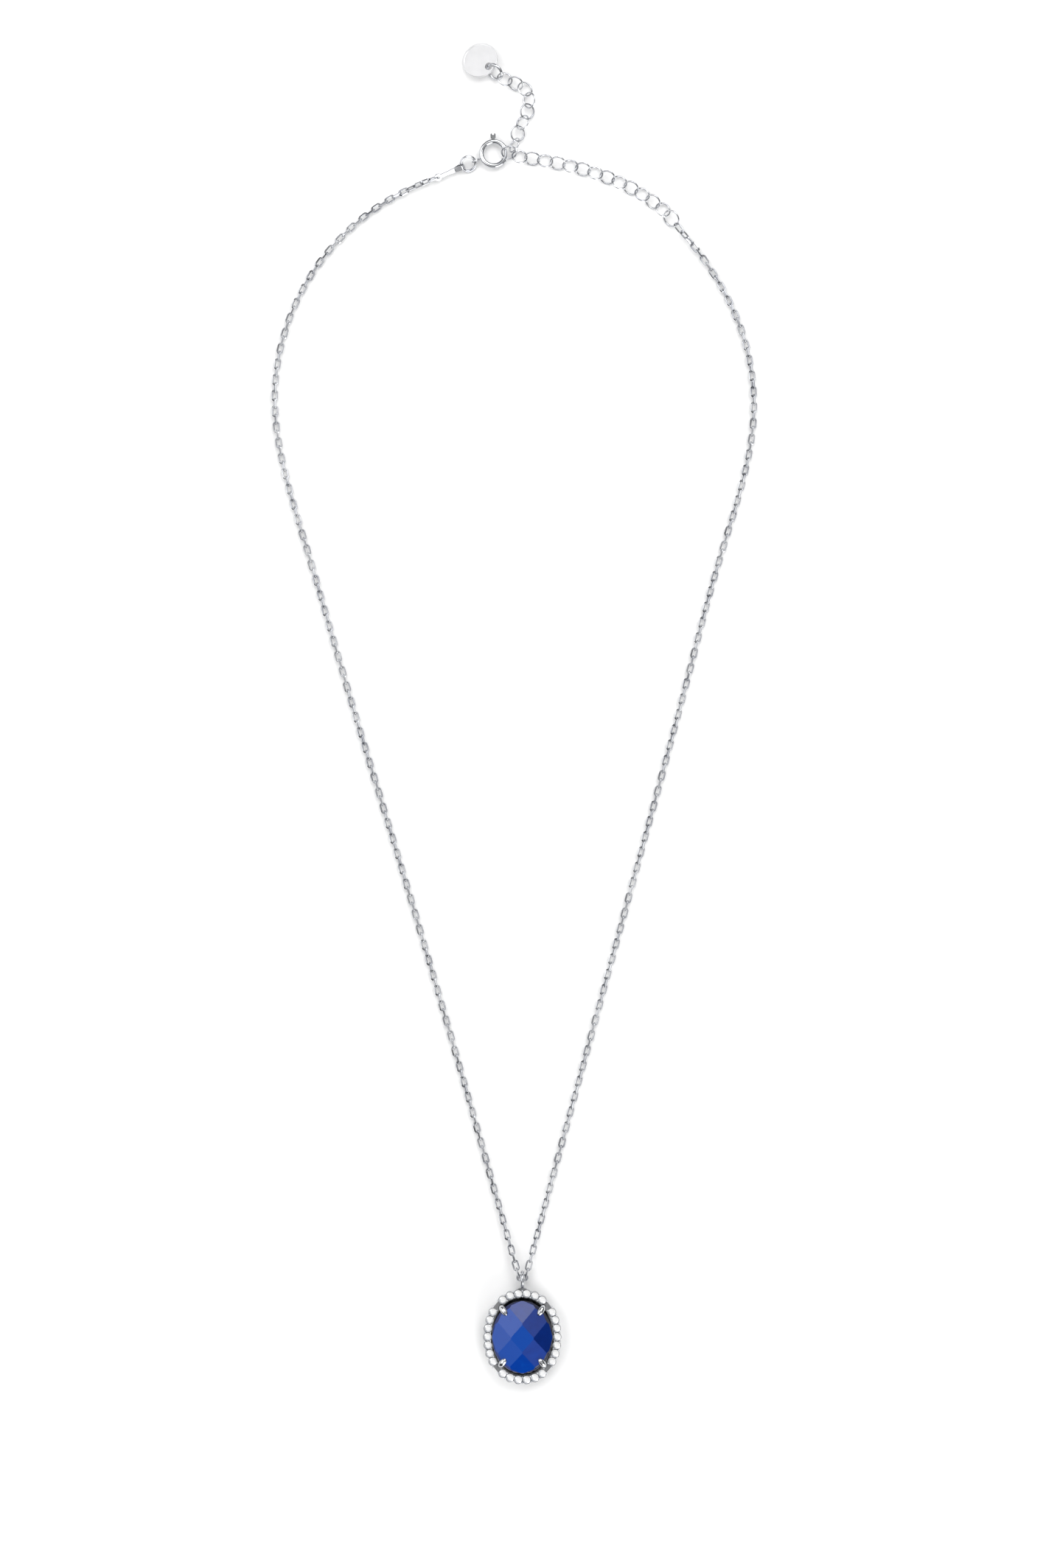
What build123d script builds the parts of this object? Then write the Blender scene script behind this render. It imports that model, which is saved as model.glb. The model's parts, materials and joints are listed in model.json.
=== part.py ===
"""Pendant necklace lying flat: oval halo pendant, cable chain, ring extender, spring-ring clasp.

Millimetres. +X to the right, +Y from the pendant towards the clasp, +Z up from the surface that
the necklace lies on. The origin is under the middle of its bounding box.
"""
from build123d import *
import os
from math import cos, hypot, radians, sin

# ---- cable chain -------------------------------------------------------------------------
LINK_LENGTH = 1.98
LINK_WIDTH = 1.15
LINK_WIRE = 0.30
LINK_FLAT = 0.12  # from the wire's centre to its two diamond-cut flats
SECTIONS_LEFT = [16, 16, 16, 16, 16, 16, 14, 14, 14, 14]  # links, from the pendant up
SECTIONS_RIGHT = [16, 16, 16, 16, 16, 16, 14, 14, 14]
CHAIN_TWIST = 20.0  # how far the links roll away from flat and upright inside a section
CHAIN_HEIGHT = 0.6
UPPER_ROLL_RIGHT = -50.0  # how far the last section rolls to meet the end link
CENTRE_LINK_LENGTH = 2.10

# ---- pendant -----------------------------------------------------------------------------
PENDANT_X = 1.25
PENDANT_Y = -104.6
HALO_A = 5.83  # half axes of the oval that the small stones stand on
HALO_B = 7.23
HALO_SQUARENESS = 2.15  # exponent of that oval, where 2 is an ellipse
HALO_BOTTOM = 1.6
HALO_TOP = 3.0
SMALL_STONE = 1.30
SMALL_TABLE = 0.37
SMALL_CROWN = 0.22
SMALL_DEPTH = 0.55
SMALL_PITCH = 1.42
SEAT_HOLE = 0.36
SEAT_ANGLE = 100.0
SEAT_DROP = 0.06  # how far each seat is sunk below the halo's top
SEAT_CLEARANCE = 0.04
SCALLOP = 0.72
BEAD = 0.17
BEAD_SPREAD = 0.46  # each bead's distance from the oval
HALO_OUTWARD = 0.50  # the plate's edges, out and in from the oval
HALO_INWARD = 0.55
STONE_GROUPS = [(0.0, 7), (0.25, 6), (0.5, 7), (0.75, 6)]  # share of the oval, stones there
CENTRE_A = 5.05
CENTRE_B = 6.05
GIRDLE_BOTTOM = 3.0
GIRDLE_TOP = 3.2
CROWN = 1.6
PAVILION = 2.6
FACET_X = 1.9  # half the pitch of the checkerboard across and along the stone
FACET_Y = 2.4
GIRDLE_SLOPE = 0.16
RAIL_OUTER = (6.25, 7.55)
RAIL_INNER = (4.5, 5.6)
RAIL_HEIGHT = 0.8
RAIL_FILLET = 0.18
PILLAR_SHARES = [0.0, 0.16, 0.34, 0.5, 0.66, 0.84]  # of the way round the oval
PILLAR_RADIUS = 0.32
PILLAR_INSET = 0.25
CLAW_ANGLES = [55, 125, 232, 308]
CLAW_WIRE = 0.84
CLAW_TIP = (1.02, 0.56)  # half length and half width of the rounded tip
CLAW_OVERHANG = 0.62  # from the claw's leg to the middle of its tip
CLAW_NOTCH = 0.16
SHOULDER = (0.85, 0.42)  # half axes of the shoulder that carries the bail
BAIL_WIRE = 0.60
BAIL_RADIUS = 1.20
BAIL_Y = -95.1
BAIL_Z = 1.9

# ---- clasp end ---------------------------------------------------------------------------
CLASP_X = -3.57
CLASP_Y = 94.15
CLASP_Z = 0.95
CLASP_RADIUS = 2.05
CLASP_TUBE = 0.85
CLASP_BORE = 0.56
CLASP_GAP = 30.0  # half the opening, in degrees each side of +X
CLASP_STOP = 222.0  # where the bore ends
BOLT_WIRE = 0.46
BOLT_TIP = -36.0
BOLT_TAIL = 102.0
KNOB_ANGLE = 92.0
BOLT_TRAVEL = 60.0
KNOB_STEM = (0.44, 0.5)
KNOB_HEAD = (0.86, 0.84)
KNOB_CORNER = 0.16
KNOB_CLEFT = 0.2
KNOB_THICKNESS = 0.38
SLOT_WIDTH = 0.48
COLLAR = 0.06  # how far the collars stand proud of the tube, and how far round they go
COLLAR_ANGLE = 6.0
SPRING_COILS = 9
SPRING_PITCH = 6.0
SPRING_RADIUS = 0.17
SPRING_WIRE = 0.10
EYE_ANGLE = 202.0
EYE_WIRE = 0.32
EYE_RADIUS = 0.58
SOLDER_GAP = 0.005  # so that two soldered wires are modelled as just apart
JUMP_WIRE = 0.50
JUMP_RADIUS = 1.25
JUMP_TILT = -30.0
TAB_ANGLE = 24.0
TAB_LENGTH = 4.3
TAB_SHEET = 0.15
TAB_LEAF_GAP = 0.04
TAB_ROLL = 36.0
TAB_HOLE = 0.33
TAB_END = 0.61
TAB_FOLD_GAP = 0.12  # between the jump ring's wire and the fold round it
TAB_WAIST = 0.26
TAB_SHOULDER = 0.4

# ---- extender, tail and tag: ring middles run from the chain's end to the clasp and tag ----
RING_WIRE = 0.28
RING_RADIUS = 1.26
RING_ROLLS = (32.0, -45.0)  # neighbouring rings lean opposite ways
END_RING_RADIUS = 1.42
END_RING_CENTRE = (26.3, 83.2, 1.16)
END_LINK_LENGTH = 2.3
END_LINK_WIDTH = 1.5
END_LINK_ANGLE = 128.0
END_LINK_ROLL = 40.0
RUN_RINGS = 13
RUN = [(24.9, 84.7, 1.02), (19.6, 88.3, 1.02), (11.4, 91.5, 1.02), (0.79, 93.6, 1.02)]
HOOK = (-0.95, 94.33, 1.1)  # middle of the ring that the clasp is hooked through
HOOK_YAW = 2.0
HOOK_ROLL = 48.0
FIRST_TAIL_ROLL = -60.0
TAIL = [
    (-0.08, 95.52, 1.25),
    (0.45, 97.5, 1.05),
    (1.3, 99.35, 1.05),
    (2.06, 101.2, 1.05),
    (2.4, 103.1, 1.05),
    (1.7, 104.95, 1.05),
    (0.1, 105.9, 1.1),
    (-1.7, 106.6, 1.2),
]
TAG_JUMP_CENTRE = (-3.4, 107.8, 1.45)
TAG_JUMP_RADIUS = 1.40
TAG_JUMP_WIRE = 0.50
TAG_JUMP_ROLL = -55.0
TAG_RADIUS = 3.0
TAG_THICKNESS = 0.30
TAG_RIM = 0.10
TAG_RIM_WIDTH = 0.26
TAG_EDGE = 0.06  # from the rim out to the tag's edge
TAG_HEIGHT = 1.08
TAG_HOLE = 0.62
TAG_HOLE_REACH = 2.0
TAG_ANGLE = 140.0
TAG_TILT = 17.0
PLAY = 0.05  # gap left between two wires that hook into each other

UP = Vector(0, 0, 1)


def heading(angle, slope=0.0):
    """Unit vector at an angle from +X, rising by slope degrees."""
    return Vector(
        cos(radians(angle)) * cos(radians(slope)),
        sin(radians(angle)) * cos(radians(slope)),
        sin(radians(slope)),
    )


def rolled_plane(centre, along, roll):
    """A plane through centre that holds the direction along, turned about it by roll degrees
    from flat."""
    across = UP.cross(along).normalized()
    level = along.cross(across).normalized()
    normal = level * cos(radians(roll)) - across * sin(radians(roll))
    return Plane(origin=centre, x_dir=along, z_dir=normal)


def stations(points, count):
    """Points evenly spaced along a smooth route: one where each two links hook together."""
    with BuildLine():
        route = Spline(*points)
    pitch = route.length / count
    print(f"route {route.length:.1f} mm in {count} steps of {pitch:.3f}")
    return [
        route.position_at(pitch * i, position_mode=PositionMode.LENGTH)
        for i in range(count + 1)
    ]


def make_link(length, width, wire):
    """A closed oval link lying flat along X, with two flats ground along its outside."""
    half = (length - width) / 2
    bend = (width - wire) / 2
    with BuildPart() as link:
        with BuildLine() as path:
            Line((-half, -bend), (half, -bend))
            RadiusArc((half, -bend), (half, bend), -bend)
            Line((half, bend), (-half, bend))
            RadiusArc((-half, bend), (-half, -bend), -bend)
        start = Plane(origin=(-half, -bend, 0), x_dir=(0, -1, 0), z_dir=(1, 0, 0))
        with BuildSketch(start):
            Circle(wire / 2)
            side = wire * 1.1
            shift = (side / 2 - LINK_FLAT) * 2**0.5
            with Locations((-shift, 0)):
                Rectangle(side, side, rotation=45, mode=Mode.INTERSECT)
        sweep(path=path.line)
    return link


# ---- where the chain runs ----------------------------------------------------------------
BAIL_LINK_Y = BAIL_Y + BAIL_RADIUS - BAIL_WIRE / 2 - LINK_WIDTH / 2 - 0.025
STRAND_START = CENTRE_LINK_LENGTH / 2 - LINK_WIRE - (LINK_WIRE + PLAY) / 2
STRAND_START_Y = BAIL_LINK_Y + 0.12

clasp_centre = Vector(CLASP_X, CLASP_Y, CLASP_Z)
eye_reach = CLASP_RADIUS + CLASP_TUBE / 2 + EYE_RADIUS + EYE_WIRE / 2 + SOLDER_GAP
eye_centre = clasp_centre + heading(EYE_ANGLE) * eye_reach
jump_contact = eye_centre + heading(EYE_ANGLE) * (EYE_RADIUS - (EYE_WIRE + JUMP_WIRE) / 2 - 0.03)
jump_centre = jump_contact + heading(EYE_ANGLE) * JUMP_RADIUS
fold_centre = jump_centre - heading(TAB_ANGLE) * JUMP_RADIUS
tab_hole = fold_centre - heading(TAB_ANGLE) * TAB_LENGTH
tab_pin = tab_hole - heading(TAB_ANGLE) * (TAB_HOLE - LINK_WIRE / 2 - 0.08)
left_end = tab_pin - heading(TAB_ANGLE) * (LINK_WIRE + PLAY) / 2

end_ring_centre = Vector(*END_RING_CENTRE)
end_link_reach = END_RING_RADIUS + END_LINK_LENGTH / 2 - LINK_WIRE - RING_WIRE / 2 - PLAY
end_link_centre = end_ring_centre - heading(END_LINK_ANGLE) * end_link_reach
right_end = end_link_centre - heading(END_LINK_ANGLE) * (
    (END_LINK_LENGTH - LINK_WIRE) / 2 - (LINK_WIRE + PLAY) / 2
)

LEFT_ROUTE = [
    (PENDANT_X - STRAND_START, STRAND_START_Y, BAIL_Z),
    (-2.2, -84.6, 0.95),
    (-6.6, -69.0, CHAIN_HEIGHT),
    (-20.1, -22.6, CHAIN_HEIGHT),
    (-29.4, 8.4, CHAIN_HEIGHT),
    (-34.8, 27.0, CHAIN_HEIGHT),
    (-38.4, 39.4, CHAIN_HEIGHT),
    (-40.4, 51.8, CHAIN_HEIGHT),
    (-38.7, 64.2, CHAIN_HEIGHT),
    (-32.3, 76.6, CHAIN_HEIGHT),
    (-24.5, 84.2, CHAIN_HEIGHT),
    (left_end.X, left_end.Y, left_end.Z),
]
RIGHT_ROUTE = [
    (PENDANT_X + STRAND_START, STRAND_START_Y, BAIL_Z),
    (4.3, -85.6, 0.95),
    (8.6, -69.8, CHAIN_HEIGHT),
    (21.1, -23.8, CHAIN_HEIGHT),
    (29.4, 7.2, CHAIN_HEIGHT),
    (34.4, 25.8, CHAIN_HEIGHT),
    (38.1, 38.2, CHAIN_HEIGHT),
    (40.2, 50.6, CHAIN_HEIGHT),
    (38.6, 63.0, CHAIN_HEIGHT),
    (34.4, 72.4, CHAIN_HEIGHT),
    (right_end.X, right_end.Y, right_end.Z),
]

left_stations = stations(LEFT_ROUTE, sum(SECTIONS_LEFT))
right_stations = stations(RIGHT_ROUTE, sum(SECTIONS_RIGHT))

os.makedirs("parts", exist_ok=True)


def save(builder, name):
    """Label a finished piece and write its STEP file."""
    builder.part.label = name
    export_step(builder.part, f"parts/{name}.step")


# ---- chain links -------------------------------------------------------------------------
link = make_link(LINK_LENGTH, LINK_WIDTH, LINK_WIRE)


def link_places(points, end_roll, first):
    """A place for each link of one section. They alternate upright and flat, starting upright,
    and roll a little to and fro between the section's ends."""
    count = len(points) - 1
    places = []
    for i in range(count):
        share = i / (count - 1)
        roll = 90.0 * ((first + i + 1) % 2) + CHAIN_TWIST * sin(radians(180 * share))
        roll += end_roll * share**2
        along = (points[i + 1] - points[i]).normalized()
        places.append(rolled_plane((points[i] + points[i + 1]) / 2, along, roll))
    return places


def make_strand(side, points, sections, end_roll):
    """One side of the chain, a node for each section of links."""
    start = 0
    for number, count in enumerate(sections, 1):
        last = number == len(sections)
        section_points = points[start : start + count + 1]
        with BuildPart() as section:
            with Locations(*link_places(section_points, end_roll if last else 0.0, start)):
                add(link.part, clean=False)
        save(section, f"chain_{side}_{number:02d}")
        start += count


make_strand("left", left_stations, SECTIONS_LEFT, TAB_ROLL - 90)
make_strand("right", right_stations, SECTIONS_RIGHT, UPPER_ROLL_RIGHT)

with BuildPart() as centre_link:
    with Locations(Plane(origin=(PENDANT_X, BAIL_LINK_Y, BAIL_Z))):
        add(make_link(CENTRE_LINK_LENGTH, LINK_WIDTH, LINK_WIRE).part)
save(centre_link, "centre_link")


# ---- stones ------------------------------------------------------------------------------
def cut_facet(origin, normal):
    """Grind the part in progress back to a plane, keeping the side away from the normal."""
    split(bisect_by=Plane(origin=origin, z_dir=normal), keep=Keep.BOTTOM)


with BuildPart() as centre_stone:
    with BuildSketch(Plane(origin=(PENDANT_X, PENDANT_Y, GIRDLE_BOTTOM - PAVILION))):
        Ellipse(CENTRE_A, CENTRE_B)
    extrude(amount=PAVILION + GIRDLE_TOP - GIRDLE_BOTTOM + CROWN)
    # Crown: planes touching a shallow dome at the middles of a diagonal checkerboard.
    for row in range(-2, 3):
        for column in range(-2, 3):
            x, y = column * FACET_X, row * FACET_Y
            reach = hypot(x / CENTRE_A, y / CENTRE_B)
            if (row + column) % 2 or reach > 1:
                continue
            height = GIRDLE_TOP + CROWN * (1 - reach**2)
            slope = (2 * CROWN * x / CENTRE_A**2, 2 * CROWN * y / CENTRE_B**2, 1)
            cut_facet((PENDANT_X + x, PENDANT_Y + y, height), slope)
    # A ring of narrow facets where the crown meets the girdle.
    for step in range(16):
        angle = radians(360 / 16 * (step + 0.5))
        x, y = CENTRE_A * cos(angle), CENTRE_B * sin(angle)
        cut_facet(
            (PENDANT_X + x, PENDANT_Y + y, GIRDLE_TOP),
            (x / CENTRE_A**2, y / CENTRE_B**2, GIRDLE_SLOPE),
        )
    # Pavilion: twelve long facets to the culet, and twelve short ones under the girdle.
    for step in range(12):
        angle = radians(30 * step)
        x, y = CENTRE_A * cos(angle), CENTRE_B * sin(angle)
        cut_facet(
            (PENDANT_X, PENDANT_Y, GIRDLE_BOTTOM - PAVILION),
            (cos(angle) / CENTRE_A, sin(angle) / CENTRE_B, -1 / PAVILION),
        )
        half_step = radians(30 * (step + 0.5))
        x, y = CENTRE_A * cos(half_step), CENTRE_B * sin(half_step)
        cut_facet(
            (PENDANT_X + x, PENDANT_Y + y, GIRDLE_BOTTOM),
            (x / CENTRE_A**2, y / CENTRE_B**2, -1.5 * GIRDLE_SLOPE),
        )
save(centre_stone, "centre_stone")

with BuildPart() as small_stone:
    with BuildSketch(Plane.XY.offset(-SMALL_DEPTH)):
        Circle(SMALL_STONE / 2)
    extrude(amount=SMALL_DEPTH + SMALL_CROWN)
    for step in range(8):
        angle = radians(45 * step)
        flat = Vector(cos(angle), sin(angle), 0)
        between = Vector(cos(angle + radians(22.5)), sin(angle + radians(22.5)), 0)
        rim = SMALL_STONE / 2
        crown_slope = (rim - SMALL_TABLE) / SMALL_CROWN
        cut_facet(flat * rim, flat + UP * crown_slope)
        cut_facet(between * rim, between + UP * crown_slope * 0.85)
        cut_facet(flat * rim - UP * 0.03, flat - UP * rim / SMALL_DEPTH)
        cut_facet(between * rim - UP * 0.03, between - UP * rim / SMALL_DEPTH * 0.85)

with BuildLine():
    power = 2 / HALO_SQUARENESS
    corners = []
    for step in range(32):
        c, s = cos(radians(360 / 32 * step)), sin(radians(360 / 32 * step))
        x = PENDANT_X + HALO_A * abs(c) ** power * (1 if c > 0 else -1)
        y = PENDANT_Y + HALO_B * abs(s) ** power * (1 if s > 0 else -1)
        corners.append((x, y))
    stone_oval = Spline(*corners, periodic=True)
oval_length = stone_oval.length


def oval_place(distance):
    """The point on the small stones' oval that lies this far round from its right side."""
    share = (distance / oval_length) % 1.0
    return stone_oval.position_at(share * oval_length, position_mode=PositionMode.LENGTH)


stone_points = []
bead_points = []
for quarter, count in STONE_GROUPS:
    first = quarter * oval_length - SMALL_PITCH * (count - 1) / 2
    for i in range(count):
        stone_points.append(oval_place(first + SMALL_PITCH * i))
    for i in range(count + 1):
        bead_points.append(oval_place(first + SMALL_PITCH * (i - 0.5)))

with BuildPart() as halo_stones:
    with Locations(*[Location((p.X, p.Y, HALO_TOP)) for p in stone_points]):
        add(small_stone.part, clean=False)
save(halo_stones, "halo_stones")

# ---- pendant metal -----------------------------------------------------------------------
claw_feet = []
for angle in CLAW_ANGLES:
    reach = 1 / hypot(cos(radians(angle)) / CENTRE_A, sin(radians(angle)) / CENTRE_B)
    claw_feet.append((angle, reach + CLAW_WIRE / 2 + 0.02))

with BuildPart() as claws:
    for angle, reach in claw_feet:
        out = heading(angle)
        foot = Vector(PENDANT_X, PENDANT_Y, RAIL_HEIGHT) + out * reach
        with BuildSketch(Plane(origin=foot)):
            Circle(CLAW_WIRE / 2)
        extrude(amount=GIRDLE_TOP + 0.15 - RAIL_HEIGHT)
        tip = foot - out * CLAW_OVERHANG + UP * (GIRDLE_TOP + 0.32 - RAIL_HEIGHT)
        lean = (out * 0.88 - UP * 0.34).normalized()
        side = UP.cross(out)
        with BuildSketch(Plane(origin=tip, x_dir=lean, z_dir=side)):
            Ellipse(*CLAW_TIP)
            Rectangle(4 * CLAW_TIP[0], 4 * CLAW_TIP[1], align=(Align.CENTER, Align.MIN),
                      mode=Mode.INTERSECT)
        revolve(axis=Axis(tip, lean), revolution_arc=360)
    add(centre_stone.part, mode=Mode.SUBTRACT)
save(claws, "claws")

with BuildPart() as back_gallery:
    with BuildSketch(Plane(origin=(PENDANT_X, PENDANT_Y, 0))):
        Ellipse(*RAIL_OUTER)
        Ellipse(*RAIL_INNER, mode=Mode.SUBTRACT)
    extrude(amount=RAIL_HEIGHT)
    fillet(back_gallery.edges(), RAIL_FILLET)
    with BuildSketch(Plane(origin=(0, 0, RAIL_HEIGHT - 0.2))):
        for share in PILLAR_SHARES:
            pillar = oval_place(share * oval_length)
            inward = Vector(PENDANT_X - pillar.X, PENDANT_Y - pillar.Y).normalized() * PILLAR_INSET
            with Locations((pillar.X + inward.X, pillar.Y + inward.Y)):
                Circle(PILLAR_RADIUS)
    extrude(amount=HALO_BOTTOM - RAIL_HEIGHT + 0.2)
save(back_gallery, "back_gallery")

with BuildPart() as halo_frame:
    with BuildSketch(Plane(origin=(0, 0, HALO_BOTTOM))):
        with Locations((PENDANT_X, PENDANT_Y)):
            Ellipse(HALO_A + HALO_OUTWARD, HALO_B + HALO_OUTWARD)
            Ellipse(HALO_A - HALO_INWARD, HALO_B - HALO_INWARD, mode=Mode.SUBTRACT)
        with Locations(*[(p.X, p.Y) for p in stone_points]):
            Circle(SCALLOP)
    extrude(amount=HALO_TOP - HALO_BOTTOM)
    # The shoulder that carries the bail.
    with BuildSketch(Plane(origin=(PENDANT_X, PENDANT_Y + HALO_B + 0.55, HALO_BOTTOM + 0.2))):
        Ellipse(*SHOULDER)
    extrude(amount=HALO_TOP - HALO_BOTTOM - 0.25)
    with Locations(*[Location((p.X, p.Y, HALO_TOP - SEAT_DROP)) for p in stone_points]):
        CounterSinkHole(
            radius=SEAT_HOLE,
            counter_sink_radius=SMALL_STONE / 2 + SEAT_CLEARANCE,
            counter_sink_angle=SEAT_ANGLE,
        )
    # Beads that hold the small stones, in pairs between them.
    for point in bead_points:
        out = Vector(point.X - PENDANT_X, point.Y - PENDANT_Y).normalized()
        for offset in (-BEAD_SPREAD, BEAD_SPREAD):
            with Locations((point.X + out.X * offset, point.Y + out.Y * offset, HALO_TOP)):
                Sphere(BEAD)
    # Notches in which the claws stand.
    for angle, reach in claw_feet:
        foot = Vector(PENDANT_X, PENDANT_Y, 0) + heading(angle) * (reach - 0.1)
        with Locations((foot.X, foot.Y, (HALO_TOP + HALO_BOTTOM) / 2)):
            Cylinder(CLAW_WIRE / 2 + CLAW_NOTCH, 2, mode=Mode.SUBTRACT)
    add(claws.part, mode=Mode.SUBTRACT)
save(halo_frame, "halo_frame")

with BuildPart() as bail_ring:
    with Locations(Plane(origin=(PENDANT_X, BAIL_Y, BAIL_Z), z_dir=(1, 0, 0))):
        Torus(BAIL_RADIUS, BAIL_WIRE / 2)
    add(halo_frame.part, mode=Mode.SUBTRACT)
save(bail_ring, "bail_ring")


# ---- clasp -------------------------------------------------------------------------------
def clasp_arc(section, start, end, mode=Mode.ADD):
    """A section standing off the clasp's middle, swung round it from one angle to another."""
    profile = Plane(origin=clasp_centre, x_dir=heading(start), z_dir=heading(start - 90))
    placed = profile * Location((CLASP_RADIUS, 0, 0)) * section
    revolve(placed, axis=Axis(clasp_centre, UP), revolution_arc=end - start, mode=mode)


with BuildSketch() as tube_section:
    Circle(CLASP_TUBE / 2)
with BuildSketch() as collar_section:
    Circle(CLASP_TUBE / 2 + COLLAR)
with BuildSketch() as bore_section:
    Circle(CLASP_BORE / 2)
with BuildSketch() as bolt_section:
    Circle(BOLT_WIRE / 2)
with BuildSketch() as slot_section:
    with Locations((CLASP_TUBE / 2, 0)):
        Rectangle(CLASP_TUBE, SLOT_WIDTH)

with BuildPart() as clasp_tube:
    clasp_arc(tube_section.sketch, CLASP_GAP, 360 - CLASP_GAP)
    # Collars at both ends of the opening.
    clasp_arc(collar_section.sketch, CLASP_GAP, CLASP_GAP + COLLAR_ANGLE)
    clasp_arc(collar_section.sketch, -CLASP_GAP - COLLAR_ANGLE, -CLASP_GAP)
    # The bore that the bolt runs in, and the socket that its tip shuts into.
    clasp_arc(bore_section.sketch, CLASP_GAP - 5, CLASP_STOP, Mode.SUBTRACT)
    clasp_arc(bore_section.sketch, BOLT_TIP - 3, 5 - CLASP_GAP, Mode.SUBTRACT)
    # The slot that the knob slides in.
    clasp_arc(slot_section.sketch, KNOB_ANGLE - 12, KNOB_ANGLE + BOLT_TRAVEL + 12, Mode.SUBTRACT)
save(clasp_tube, "clasp_tube")

with BuildPart() as clasp_bolt:
    clasp_arc(bolt_section.sketch, BOLT_TIP, BOLT_TAIL)
    # A knob with two prongs, standing out through the slot.
    knob_foot = clasp_centre + heading(KNOB_ANGLE) * (CLASP_RADIUS + 0.1)
    knob_side = Plane(
        origin=knob_foot - UP * KNOB_THICKNESS / 2,
        x_dir=heading(KNOB_ANGLE - 90),
        z_dir=UP,
    )
    with BuildSketch(knob_side):
        with Locations((0, 0.25)):
            Rectangle(*KNOB_STEM)
        with Locations((0, 0.78)):
            RectangleRounded(*KNOB_HEAD, KNOB_CORNER)
        with Locations((0, 1.12)):
            Circle(KNOB_CLEFT, mode=Mode.SUBTRACT)
    extrude(amount=KNOB_THICKNESS)
save(clasp_bolt, "clasp_bolt")

with BuildPart() as clasp_spring:
    for coil in range(SPRING_COILS):
        angle = KNOB_ANGLE + BOLT_TRAVEL + 14 + SPRING_PITCH * coil
        coil_centre = clasp_centre + heading(angle) * CLASP_RADIUS
        with Locations(Plane(origin=coil_centre, z_dir=heading(angle + 90))):
            Torus(SPRING_RADIUS, SPRING_WIRE / 2)
save(clasp_spring, "clasp_spring")


# ---- rings -------------------------------------------------------------------------------
def save_ring(name, plane, radius, wire):
    """Make a round wire ring in a plane."""
    with BuildPart() as ring:
        with Locations(plane):
            Torus(radius, wire / 2)
    save(ring, name)


eye_plane = rolled_plane(eye_centre, heading(EYE_ANGLE), 90)
save_ring("clasp_eye", eye_plane, EYE_RADIUS, EYE_WIRE)
jump_plane = rolled_plane(jump_centre, heading(EYE_ANGLE), JUMP_TILT)
save_ring("clasp_jump_ring", jump_plane, JUMP_RADIUS, JUMP_WIRE)

# ---- end tab: a strip folded round the jump ring, its two leaves holding the last link -----
FOLD_RADIUS = JUMP_WIRE / 2 + TAB_FOLD_GAP + TAB_SHEET / 2
tab_plane = rolled_plane(fold_centre, heading(TAB_ANGLE), TAB_ROLL)
tab_side = Plane(origin=fold_centre, x_dir=tab_plane.x_dir, z_dir=-tab_plane.y_dir)
with BuildPart() as end_tab:
    with BuildSketch(tab_side):
        with BuildLine() as strip:
            leaf = (TAB_SHEET + TAB_LEAF_GAP) / 2
            end = TAB_LENGTH + TAB_END
            bend = ThreePointArc((0, FOLD_RADIUS), (FOLD_RADIUS, 0), (0, -FOLD_RADIUS))
            Polyline(bend @ 0, (-1.3, leaf), (-end, leaf))
            Polyline(bend @ 1, (-1.3, -leaf), (-end, -leaf))
        trace(strip.line, TAB_SHEET)
    extrude(amount=1.0, both=True)
    with BuildSketch(tab_plane):
        with BuildLine():
            Polyline(
                (1, 0),
                (1, TAB_SHOULDER),
                (-0.7, TAB_SHOULDER),
                (-2.6, TAB_WAIST),
                (-TAB_LENGTH, TAB_WAIST + 0.04),
                (-TAB_LENGTH, 0),
            )
            Line((-TAB_LENGTH, 0), (1, 0))
        make_face()
        mirror(about=Plane.XZ)
        with Locations((-TAB_LENGTH, 0)):
            Circle(TAB_END)
            Circle(TAB_HOLE, mode=Mode.SUBTRACT)
    extrude(amount=1.0, both=True, mode=Mode.INTERSECT)
save(end_tab, "end_tab")

# ---- extender ----------------------------------------------------------------------------
with BuildPart() as end_link:
    with Locations(rolled_plane(end_link_centre, heading(END_LINK_ANGLE), END_LINK_ROLL)):
        add(make_link(END_LINK_LENGTH, END_LINK_WIDTH, LINK_WIRE).part)
save(end_link, "end_link")

tag_jump_centre = Vector(*TAG_JUMP_CENTRE)
tag_centre = tag_jump_centre + heading(TAG_ANGLE) * (TAG_JUMP_RADIUS + 1.8)
tag_centre.Z = TAG_HEIGHT

save_ring(
    "end_ring",
    rolled_plane(end_ring_centre, heading(END_LINK_ANGLE + 5), END_LINK_ROLL - 85),
    END_RING_RADIUS,
    RING_WIRE,
)


def save_rings(prefix, centres, before, after, first_roll=RING_ROLLS[0]):
    """A ring on each middle, facing along the row, leaning to alternate sides."""
    row = [Vector(*before)] + [Vector(*c) for c in centres] + [Vector(*after)]
    for i in range(1, len(row) - 1):
        along = (row[i + 1] - row[i - 1]).normalized()
        roll = first_roll if i == 1 else RING_ROLLS[(i + (first_roll > 0)) % 2]
        save_ring(f"{prefix}_{i:02d}", rolled_plane(row[i], along, roll), RING_RADIUS, RING_WIRE)


run_centres = stations(RUN, RUN_RINGS - 1)
save_rings("extender_ring", run_centres, end_ring_centre, HOOK)
save_ring(
    "hooked_ring", rolled_plane(Vector(*HOOK), heading(HOOK_YAW), HOOK_ROLL), RING_RADIUS, RING_WIRE
)
save_rings("tail_ring", TAIL, HOOK, tag_jump_centre, FIRST_TAIL_ROLL)

# ---- tag ---------------------------------------------------------------------------------
save_ring(
    "tag_jump_ring",
    rolled_plane(tag_jump_centre, heading(TAG_ANGLE), TAG_JUMP_ROLL),
    TAG_JUMP_RADIUS,
    TAG_JUMP_WIRE,
)

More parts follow.
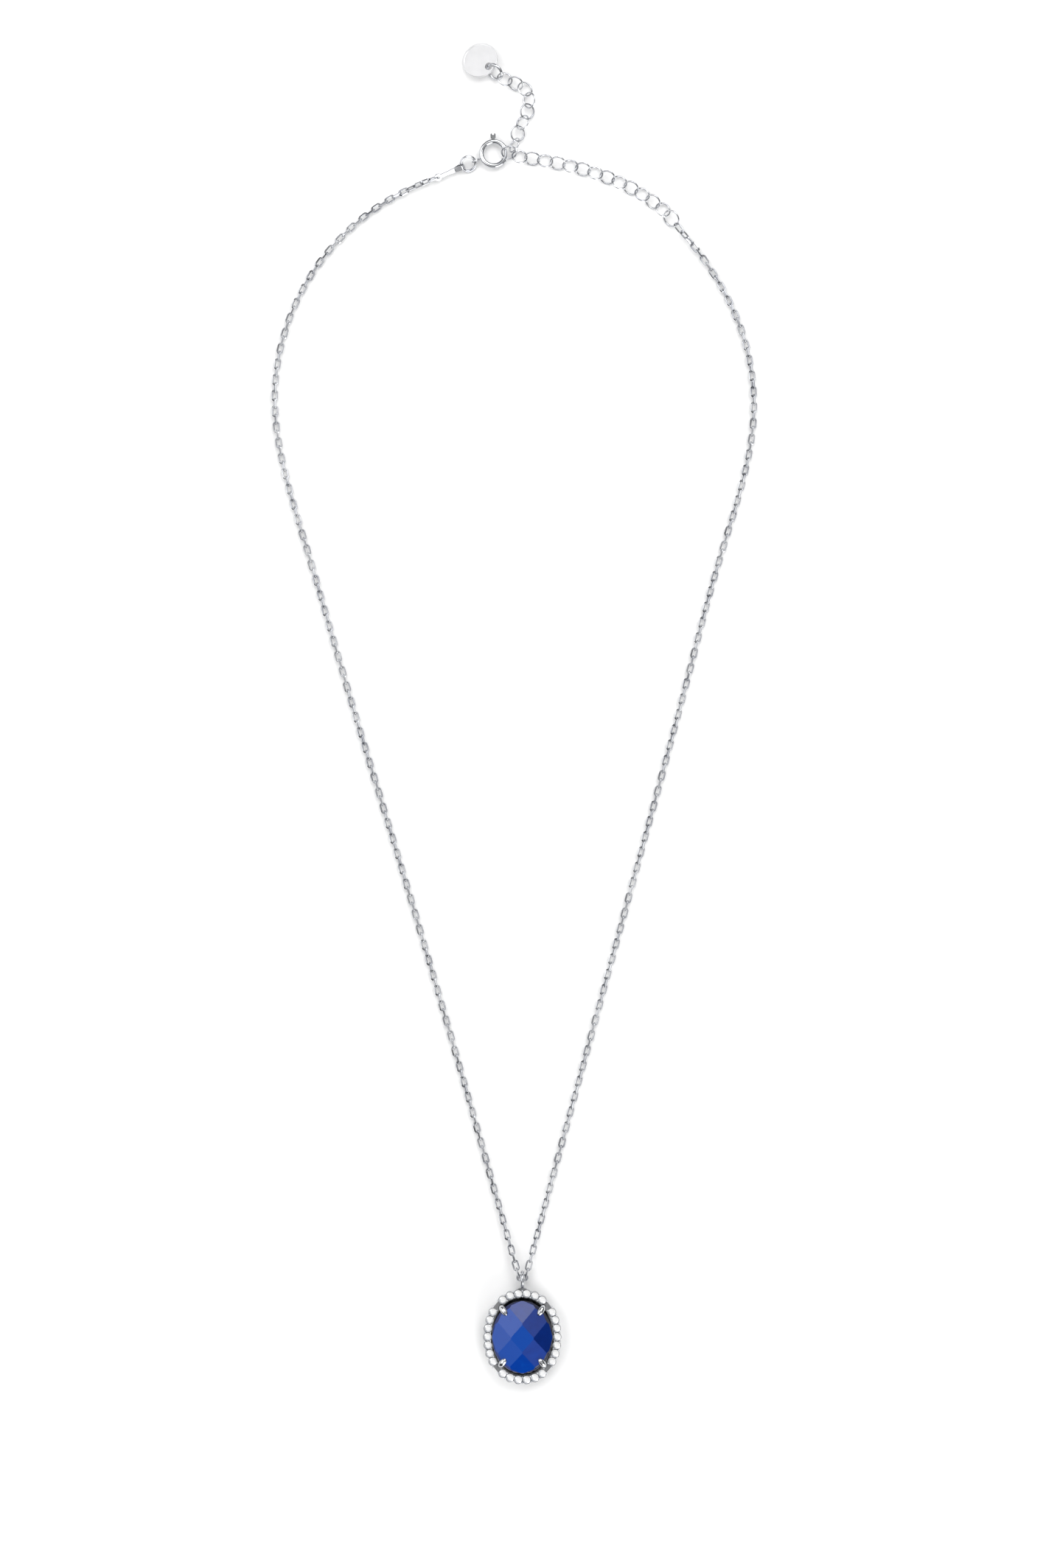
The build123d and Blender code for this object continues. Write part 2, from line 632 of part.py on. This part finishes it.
tag_plane = Plane(
    origin=tag_centre,
    x_dir=heading(TAG_ANGLE, -TAG_TILT),
    z_dir=heading(TAG_ANGLE, 90 - TAG_TILT),
)
with BuildPart() as tag:
    with BuildSketch(tag_plane):
        Circle(TAG_RADIUS)
        with Locations((-TAG_HOLE_REACH, 0)):
            Circle(TAG_HOLE, mode=Mode.SUBTRACT)
    extrude(amount=TAG_THICKNESS / 2, both=True)
    chamfer(tag.edges().filter_by(GeomType.CIRCLE), 0.04)
    with BuildSketch(tag_plane.offset(TAG_THICKNESS / 2)):
        Circle(TAG_RADIUS - TAG_EDGE)
        Circle(TAG_RADIUS - TAG_EDGE - TAG_RIM_WIDTH, mode=Mode.SUBTRACT)
    extrude(amount=TAG_RIM)
save(tag, "tag")
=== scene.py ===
"""Looks for the pendant necklace: plated metal, a faceted blue stone and small clear stones.

Metres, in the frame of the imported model: +Z up from the surface, +Y towards the clasp.
"""
import json

import bpy
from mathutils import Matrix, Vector

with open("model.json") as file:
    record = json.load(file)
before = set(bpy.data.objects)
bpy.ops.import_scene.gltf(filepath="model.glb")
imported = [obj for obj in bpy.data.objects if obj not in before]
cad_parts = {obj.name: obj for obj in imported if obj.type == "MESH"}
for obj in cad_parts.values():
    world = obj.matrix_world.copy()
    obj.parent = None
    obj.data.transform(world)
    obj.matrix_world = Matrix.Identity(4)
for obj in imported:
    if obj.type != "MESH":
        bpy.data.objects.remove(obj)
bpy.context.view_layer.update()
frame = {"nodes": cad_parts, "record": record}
nodes = frame["nodes"]
MM = 0.001

# ---- framing -----------------------------------------------------------------------------
LENS = 85.0
SENSOR = 36.0
CLIP_START = 10 * MM
VIEW_HEIGHT = 263.9 * MM  # how much of the surface the picture's height takes in
VIEW_CENTRE = Vector((1.36, -11.9, 0.6)) * MM
EXPOSURE = 0.15

# ---- floor and lights ----------------------------------------------------------------------
FLOOR_SIZE = 1.6
FLOOR_Z = -0.06 * MM  # a little under the lowest wire
FLOOR_ROUGHNESS = 0.75
FLOOR_PATCH_SCALE = 60.0
FLOOR_TONES = [(0.3, 0.92), (0.7, 0.94)]
# grey of the surroundings against the sine of the height above the horizon
WORLD_TONES = [
    (0.0, 0.85),
    (0.12, 0.80),
    (0.24, 0.06),
    (0.62, 0.05),
    (0.78, 0.75),
    (0.92, 0.80),
    (0.99, 0.30),
]
# name, place, side of the square and power in watts
SOFT_BOXES = [
    ("key", (-0.62, 0.10, 0.62), 1.0, 4.2),
    ("sheen", (0.22, 0.46, 0.61), 0.6, 3.0),
    ("fill", (0.42, -0.74, 0.32), 0.6, 4.6),
]

# ---- surface patterns: scales in features per metre, levels on a noise from 0 to 1 -------------
TARNISH_SCALE = 420.0
TARNISH_DETAIL = 5.0
TARNISH_DARK_LEVEL = 0.3
TARNISH_LIGHT_LEVEL = 0.62
SCRATCH_DETAIL = 8.0
SCRATCH_STRETCH = (1.0, 0.12, 1.0)  # long in Y, which is how the necklace is laid out
SCRATCH_SMOOTH_LEVEL = 0.35
SCRATCH_DULL_LEVEL = 0.75
SCRATCH_DEPTH = 0.003 * MM
VEIL_SCALE = 700.0
VEIL_DETAIL = 3.0
VEIL_AMOUNT = 0.10
POLISH_SCALE = 5000.0
POLISH_DEPTH = 0.001 * MM
POLISH_RELIEF = 0.15


def principled(name):
    """A new material with one Principled shader: the material, its node tree and the shader."""
    material = bpy.data.materials.new(name)
    material.use_nodes = True
    tree = material.node_tree
    return material, tree, tree.nodes["Principled BSDF"]


def object_noise(tree, scale, detail=4.0, stretch=(1, 1, 1)):
    """Noise fixed to the object's own coordinates."""
    place = tree.nodes.new("ShaderNodeTexCoord")
    mapping = tree.nodes.new("ShaderNodeMapping")
    mapping.inputs["Scale"].default_value = stretch
    noise = tree.nodes.new("ShaderNodeTexNoise")
    noise.inputs["Scale"].default_value = scale
    noise.inputs["Detail"].default_value = detail
    tree.links.new(place.outputs["Object"], mapping.inputs["Vector"])
    tree.links.new(mapping.outputs["Vector"], noise.inputs["Vector"])
    return noise.outputs["Fac"]


def ramp(tree, factor, stops):
    """A colour ramp through (position, grey or colour) stops."""
    node = tree.nodes.new("ShaderNodeValToRGB")
    while len(node.color_ramp.elements) < len(stops):
        node.color_ramp.elements.new(0.5)
    for element, (position, colour) in zip(node.color_ramp.elements, stops):
        element.position = position
        rgb = (colour, colour, colour) if isinstance(colour, float) else colour
        element.color = (*rgb, 1.0)
    tree.links.new(factor, node.inputs["Fac"])
    return node.outputs["Color"]


def add_bump(tree, shader, height, depth, relief):
    """Raise the surface by a height pattern of the given depth, relief being its strength."""
    bump = tree.nodes.new("ShaderNodeBump")
    bump.inputs["Distance"].default_value = depth
    bump.inputs["Strength"].default_value = relief
    tree.links.new(height, bump.inputs["Height"])
    tree.links.new(bump.outputs["Normal"], shader.inputs["Normal"])


def plated_metal(name, light, dark, smooth, dull, scratch_scale, relief=0.35):
    """Plated metal, tarnished in patches from light to dark, with fine scratches that take its
    roughness from smooth to dull."""
    material, tree, shader = principled(name)
    shader.inputs["Metallic"].default_value = 1.0
    patches = object_noise(tree, TARNISH_SCALE, TARNISH_DETAIL)
    tones = [(TARNISH_DARK_LEVEL, dark), (TARNISH_LIGHT_LEVEL, light)]
    tree.links.new(ramp(tree, patches, tones), shader.inputs["Base Color"])
    scratches = object_noise(tree, scratch_scale, SCRATCH_DETAIL, SCRATCH_STRETCH)
    wear = [(SCRATCH_SMOOTH_LEVEL, smooth), (SCRATCH_DULL_LEVEL, dull)]
    tree.links.new(ramp(tree, scratches, wear), shader.inputs["Roughness"])
    add_bump(tree, shader, scratches, SCRATCH_DEPTH, relief)
    return material


def facet_stone(name, stops, roughness, ior, specular, transmission, light_from):
    """A cut stone with painted shade and painted highlights: each facet's colour is lighter the
    more squarely it faces light_from.
    """
    material, tree, shader = principled(name)
    shader.inputs["Roughness"].default_value = roughness
    shader.inputs["Specular IOR Level"].default_value = specular
    shader.inputs["IOR"].default_value = ior
    shader.inputs["Transmission Weight"].default_value = transmission
    # painted shade: each facet's base colour is read from how squarely its normal faces
    # light_from, plus a faint random veil
    geometry = tree.nodes.new("ShaderNodeNewGeometry")
    facing = tree.nodes.new("ShaderNodeVectorMath")
    facing.operation = "DOT_PRODUCT"
    facing.inputs[1].default_value = Vector(light_from).normalized()
    tree.links.new(geometry.outputs["True Normal"], facing.inputs[0])
    veil = tree.nodes.new("ShaderNodeMath")
    veil.operation = "MULTIPLY_ADD"
    veil.inputs[1].default_value = VEIL_AMOUNT
    tree.links.new(object_noise(tree, VEIL_SCALE, VEIL_DETAIL), veil.inputs[0])
    tree.links.new(facing.outputs["Value"], veil.inputs[2])
    tree.links.new(ramp(tree, veil.outputs["Value"], stops), shader.inputs["Base Color"])
    add_bump(tree, shader, object_noise(tree, POLISH_SCALE), POLISH_DEPTH, POLISH_RELIEF)
    return material


# ---- materials -----------------------------------------------------------------------------
silver = plated_metal(
    "polished_silver",
    light=(0.62, 0.63, 0.65),
    dark=(0.38, 0.39, 0.42),
    smooth=0.05,
    dull=0.20,
    scratch_scale=2600.0,
)
chain_silver = plated_metal(
    "chain_silver",
    light=(0.54, 0.55, 0.57),
    dark=(0.30, 0.31, 0.34),
    smooth=0.07,
    dull=0.22,
    scratch_scale=3800.0,
)
satin_silver = plated_metal(
    "satin_silver",
    light=(0.80, 0.80, 0.81),
    dark=(0.75, 0.75, 0.76),
    smooth=0.30,
    dull=0.38,
    scratch_scale=2200.0,
    relief=0.08,
)
strip_silver = plated_metal(
    "strip_silver",
    light=(0.56, 0.57, 0.59),
    dark=(0.36, 0.37, 0.40),
    smooth=0.26,
    dull=0.38,
    scratch_scale=2200.0,
    relief=0.08,
)
spring_steel = plated_metal(
    "spring_steel",
    light=(0.62, 0.62, 0.62),
    dark=(0.48, 0.47, 0.46),
    smooth=0.22,
    dull=0.42,
    scratch_scale=6000.0,
)
blue_stone = facet_stone(
    "blue_stone",
    # painted shade: near black on the steep outer facets and those turned from light_from, bright
    # blue on facets facing it
    stops=[
        (0.45, (0.001, 0.003, 0.018)),
        (0.74, (0.002, 0.009, 0.080)),
        (0.88, (0.002, 0.026, 0.210)),
        (0.98, (0.001, 0.046, 0.350)),
        (1.00, (0.001, 0.062, 0.390)),
    ],
    roughness=0.04,
    ior=1.76,
    specular=0.16,
    transmission=0.20,
    light_from=(-0.25, -0.10, 1.0),
)
clear_stone = facet_stone(
    "clear_stone",
    # painted shade and painted highlight: grey on facets turned from light_from, white on those
    # facing it
    stops=[
        (0.55, (0.36, 0.38, 0.42)),
        (0.80, (0.90, 0.92, 0.94)),
        (0.95, (1.0, 1.0, 1.0)),
    ],
    roughness=0.02,
    ior=2.15,
    specular=0.8,
    transmission=0.12,
    light_from=(0.2, 0.3, 1.0),
)

by_slot = {
    "silver": silver,
    "chain_silver": chain_silver,
    "spring_steel": spring_steel,
    "blue_stone": blue_stone,
    "clear_stone": clear_stone,
}
by_node = {"tag": satin_silver, "end_tab": strip_silver}  # flat pieces, which go before the slot
for entry in frame["record"]["subparts"]:
    mesh = nodes[entry["node"]].data
    mesh.materials.clear()
    mesh.materials.append(by_node.get(entry["node"], by_slot[entry["material_slot"]]))


# ---- floor, lights and camera --------------------------------------------------------------
def make_floor():
    """A plain white sheet, very slightly uneven in tone."""
    bpy.ops.mesh.primitive_plane_add(size=FLOOR_SIZE, location=(0, 0, FLOOR_Z))
    floor = bpy.context.object
    floor.name = "floor"
    material, tree, shader = principled("white_paper")
    tone = ramp(tree, object_noise(tree, FLOOR_PATCH_SCALE), FLOOR_TONES)
    tree.links.new(tone, shader.inputs["Base Color"])
    shader.inputs["Roughness"].default_value = FLOOR_ROUGHNESS
    floor.data.materials.append(material)


def make_world():
    """Surroundings that the metal and the stones reflect: white at the horizon and below it,
    dark from about 14 to 38 degrees up, white from 51 to 67, and grey straight overhead."""
    world = bpy.data.worlds.new("studio")
    bpy.context.scene.world = world
    world.use_nodes = True
    tree = world.node_tree
    place = tree.nodes.new("ShaderNodeTexCoord")
    split = tree.nodes.new("ShaderNodeSeparateXYZ")
    tree.links.new(place.outputs["Generated"], split.inputs["Vector"])
    background = tree.nodes["Background"]
    tree.links.new(ramp(tree, split.outputs["Z"], WORLD_TONES), background.inputs["Color"])
    background.inputs["Strength"].default_value = 1.0


def area_light(name, place, size, power):
    """A square soft box aimed at the middle of the necklace."""
    data = bpy.data.lights.new(name, "AREA")
    data.size = size
    data.energy = power
    light = bpy.data.objects.new(name, data)
    light.location = place
    light.rotation_euler = (-Vector(place)).to_track_quat("-Z", "Y").to_euler()
    bpy.context.scene.collection.objects.link(light)


def make_camera():
    """Looking straight down, the pendant at the bottom of the picture."""
    data = bpy.data.cameras.new("camera")
    data.lens = LENS
    data.sensor_fit = "VERTICAL"
    data.sensor_height = SENSOR
    data.clip_start = CLIP_START
    camera = bpy.data.objects.new("camera", data)
    camera.location = VIEW_CENTRE + Vector((0, 0, VIEW_HEIGHT * LENS / SENSOR))
    bpy.context.scene.collection.objects.link(camera)
    bpy.context.scene.camera = camera


make_floor()
make_world()
for name, place, size, power in SOFT_BOXES:
    area_light(name, place, size, power)
make_camera()
bpy.context.scene.view_settings.view_transform = "Standard"
bpy.context.scene.view_settings.exposure = EXPOSURE
